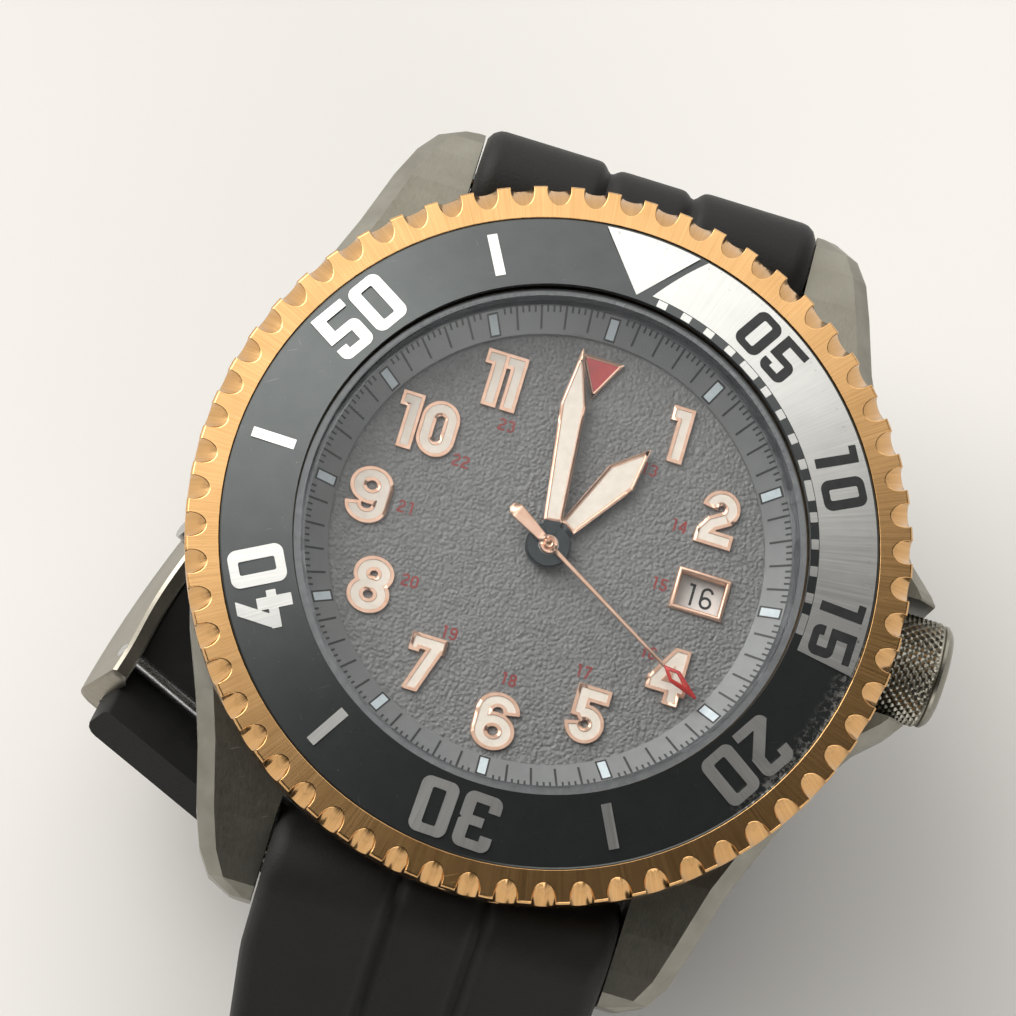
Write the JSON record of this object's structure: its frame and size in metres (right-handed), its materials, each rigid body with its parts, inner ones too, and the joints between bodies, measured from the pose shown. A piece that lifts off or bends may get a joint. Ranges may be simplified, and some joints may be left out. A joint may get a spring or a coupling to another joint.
{
  "type": "dive watch",
  "caption": "Round dive watch with a scalloped rotating timing bezel, raised numerals, a knurled crown between guards and an open rubber strap with a folding clasp.",
  "frame": {"origin": "centre of the case back's outer face", "axes": "+Z out of the dial, +Y to 12 o'clock, +X to 3 o'clock and the crown"},
  "size_m": [0.0517, 0.1528, 0.0336],
  "materials": {
    "case_titanium": "brushed grey titanium with a lighter chamfer",
    "crown_titanium": "knurled grey titanium with a polished rim",
    "rose_gold": "rose gold plating, brushed on top and polished in the scallops",
    "insert_slate": "anodised slate aluminium with bare metal markings",
    "sapphire": "clear flat sapphire with a polished edge",
    "dial_grey": "matt grey with a fine pebbled grain",
    "flange_grey": "satin grey with black minute ticks",
    "lume_cream": "cream luminous fill with rose gold rims",
    "enamel_red": "red enamel with a rose gold rim",
    "date_white": "matt white with a black number",
    "holder_plastic": "plain moulded plastic",
    "strap_rubber": "matt black rubber",
    "seal_rubber": "black seal rubber",
    "brass": "plain brass wheels",
    "blued_steel": "heat blued steel",
    "steel": "plain satin steel"
  },
  "bodies": {
    "head": {"mid_case": "case_titanium", "case_back": "case_titanium", "case_back_gasket": "seal_rubber", "bezel_click_spring": "steel", "bezel_gasket": "seal_rubber", "crystal": "sapphire", "crystal_gasket": "seal_rubber", "chapter_ring": "flange_grey", "dial": "dial_grey", "date_frame": "rose_gold", "hour_numerals": "lume_cream", "twelve_marker": "enamel_red", "main_plate": "steel", "train_bridge": "steel", "barrel_bridge": "steel", "balance_cock": "steel", "train_bridge_screw": "blued_steel", "barrel_bridge_screw": "blued_steel", "balance_cock_screw": "blued_steel", "rotor_bearing": "steel", "movement_ring": "holder_plastic", "crown_tube": "steel", "spring_bar_upper": "steel", "spring_bar_lower": "steel"},
    "bezel": {"bezel_ring": "rose_gold", "bezel_insert": "insert_slate"},
    "seconds": {"second_hand": "rose_gold", "fourth_wheel": "brass"},
    "minutes": {"minute_hand": "rose_gold", "cannon_pinion": "steel", "centre_wheel": "brass"},
    "hours": {"hour_hand": "rose_gold", "hour_wheel": "brass"},
    "motion_work": {"minute_wheel": "brass"},
    "third": {"third_wheel": "brass"},
    "escapement": {"escape_wheel": "steel"},
    "pallet": {"pallet_fork": "steel"},
    "balance": {"balance_wheel": "brass", "hairspring": "blued_steel"},
    "mainspring_barrel": {"barrel": "brass"},
    "winding_ratchet": {"ratchet_wheel": "steel"},
    "date": {"date_disc": "date_white"},
    "winding_rotor": {"rotor": "steel"},
    "crown_sleeve": {"crown_gasket": "seal_rubber"},
    "crown_knob": {"crown": "crown_titanium", "winding_stem": "steel"},
    "upper_strap": {"strap_upper": "strap_rubber", "clasp_cover": "case_titanium", "clasp_strap_bar": "steel", "clasp_hinge_pin": "steel"},
    "blade": {"clasp_blade": "steel"},
    "button_left": {"clasp_button_left": "steel"},
    "button_right": {"clasp_button_right": "steel"},
    "lower_strap": {"strap_lower": "strap_rubber"}
  },
  "joints": [
    {"name": "bezel_turn", "type": "hinge", "parent": "head", "child": "bezel", "pos_m": [0, 0, 0.009], "axis": [0, 0, 1], "continuous": true},
    {"name": "second_turn", "type": "hinge", "parent": "head", "child": "seconds", "pos_m": [0, 0, 0.006], "axis": [0, 0, -1], "continuous": true},
    {"name": "minute_turn", "type": "hinge", "parent": "head", "child": "minutes", "pos_m": [0, 0, 0.006], "axis": [0, 0, -1], "continuous": true},
    {"name": "hour_turn", "type": "hinge", "parent": "head", "child": "hours", "pos_m": [0, 0, 0.0075], "axis": [0, 0, -1], "continuous": true},
    {"name": "minute_wheel_turn", "type": "hinge", "parent": "head", "child": "motion_work", "pos_m": [0.0016, 0.00277, 0.007], "axis": [0, 0, -1], "continuous": true},
    {"name": "third_turn", "type": "hinge", "parent": "head", "child": "third", "pos_m": [-0.00075, -0.00425, 0.005], "axis": [0, 0, -1], "continuous": true},
    {"name": "escape_turn", "type": "hinge", "parent": "head", "child": "escapement", "pos_m": [0.00347, -0.00243, 0.005], "axis": [0, 0, -1], "continuous": true},
    {"name": "barrel_turn", "type": "hinge", "parent": "head", "child": "mainspring_barrel", "pos_m": [-0.00376, 0.00448, 0.005], "axis": [0, 0, -1], "continuous": true},
    {"name": "ratchet_turn", "type": "hinge", "parent": "head", "child": "winding_ratchet", "pos_m": [-0.00376, 0.00448, 0.0026], "axis": [0, 0, -1], "continuous": true},
    {"name": "date_turn", "type": "hinge", "parent": "head", "child": "date", "pos_m": [0, 0, 0.00705], "axis": [0, 0, -1], "continuous": true},
    {"name": "rotor_turn", "type": "hinge", "parent": "head", "child": "winding_rotor", "pos_m": [0, 0, 0.002], "axis": [0, 0, 1], "continuous": true},
    {"name": "balance_turn", "type": "hinge", "parent": "head", "child": "balance", "pos_m": [0.0066, -0.007, 0.0046], "axis": [0, 0, 1], "range_deg": [-220, 220], "stiffness_Nm_per_rad": 0.00000016},
    {"name": "pallet_rock", "type": "hinge", "parent": "head", "child": "pallet", "pos_m": [0.0051, -0.0046, 0.0051], "axis": [0, 0, 1], "range_deg": [-6, 6]},
    {"name": "crown_pull", "type": "slide", "parent": "head", "child": "crown_sleeve", "axis": [1, 0, 0], "range_m": [0, 0.0012]},
    {"name": "crown_turn", "type": "hinge", "parent": "crown_sleeve", "child": "crown_knob", "pos_m": [0.023, 0, 0.0045], "axis": [1, 0, 0], "continuous": true},
    {"name": "upper_strap_swing", "type": "hinge", "parent": "head", "child": "upper_strap", "pos_m": [0, 0.0223, 0.003], "axis": [1, 0, 0], "range_deg": [0, 30]},
    {"name": "lower_strap_swing", "type": "hinge", "parent": "head", "child": "lower_strap", "pos_m": [0, -0.0223, 0.003], "axis": [1, 0, 0], "range_deg": [0, 22]},
    {"name": "clasp_blade_fold", "type": "hinge", "parent": "upper_strap", "child": "blade", "pos_m": [-0.01312, -0.0153, -0.01143], "axis": [0.8705, -0.3263, -0.3684], "range_deg": [0, 28]},
    {"name": "left_button_press", "type": "slide", "parent": "upper_strap", "child": "button_left", "axis": [0.8705, -0.3263, -0.3684], "range_m": [0, 0.0006], "stiffness_N_per_m": 300, "springref_m": -0.0005},
    {"name": "right_button_press", "type": "slide", "parent": "upper_strap", "child": "button_right", "axis": [-0.8705, 0.3263, 0.3684], "range_m": [0, 0.0006], "stiffness_N_per_m": 300, "springref_m": -0.0005}
  ],
  "couplings": [
    {"joint": "minute_turn", "follows": "second_turn", "ratio": 0.016667},
    {"joint": "hour_turn", "follows": "second_turn", "ratio": 0.0013889},
    {"joint": "minute_wheel_turn", "follows": "second_turn", "ratio": -0.0055556},
    {"joint": "third_turn", "follows": "second_turn", "ratio": -0.13333},
    {"joint": "escape_turn", "follows": "second_turn", "ratio": -10},
    {"joint": "barrel_turn", "follows": "second_turn", "ratio": -0.0020833}
  ]
}
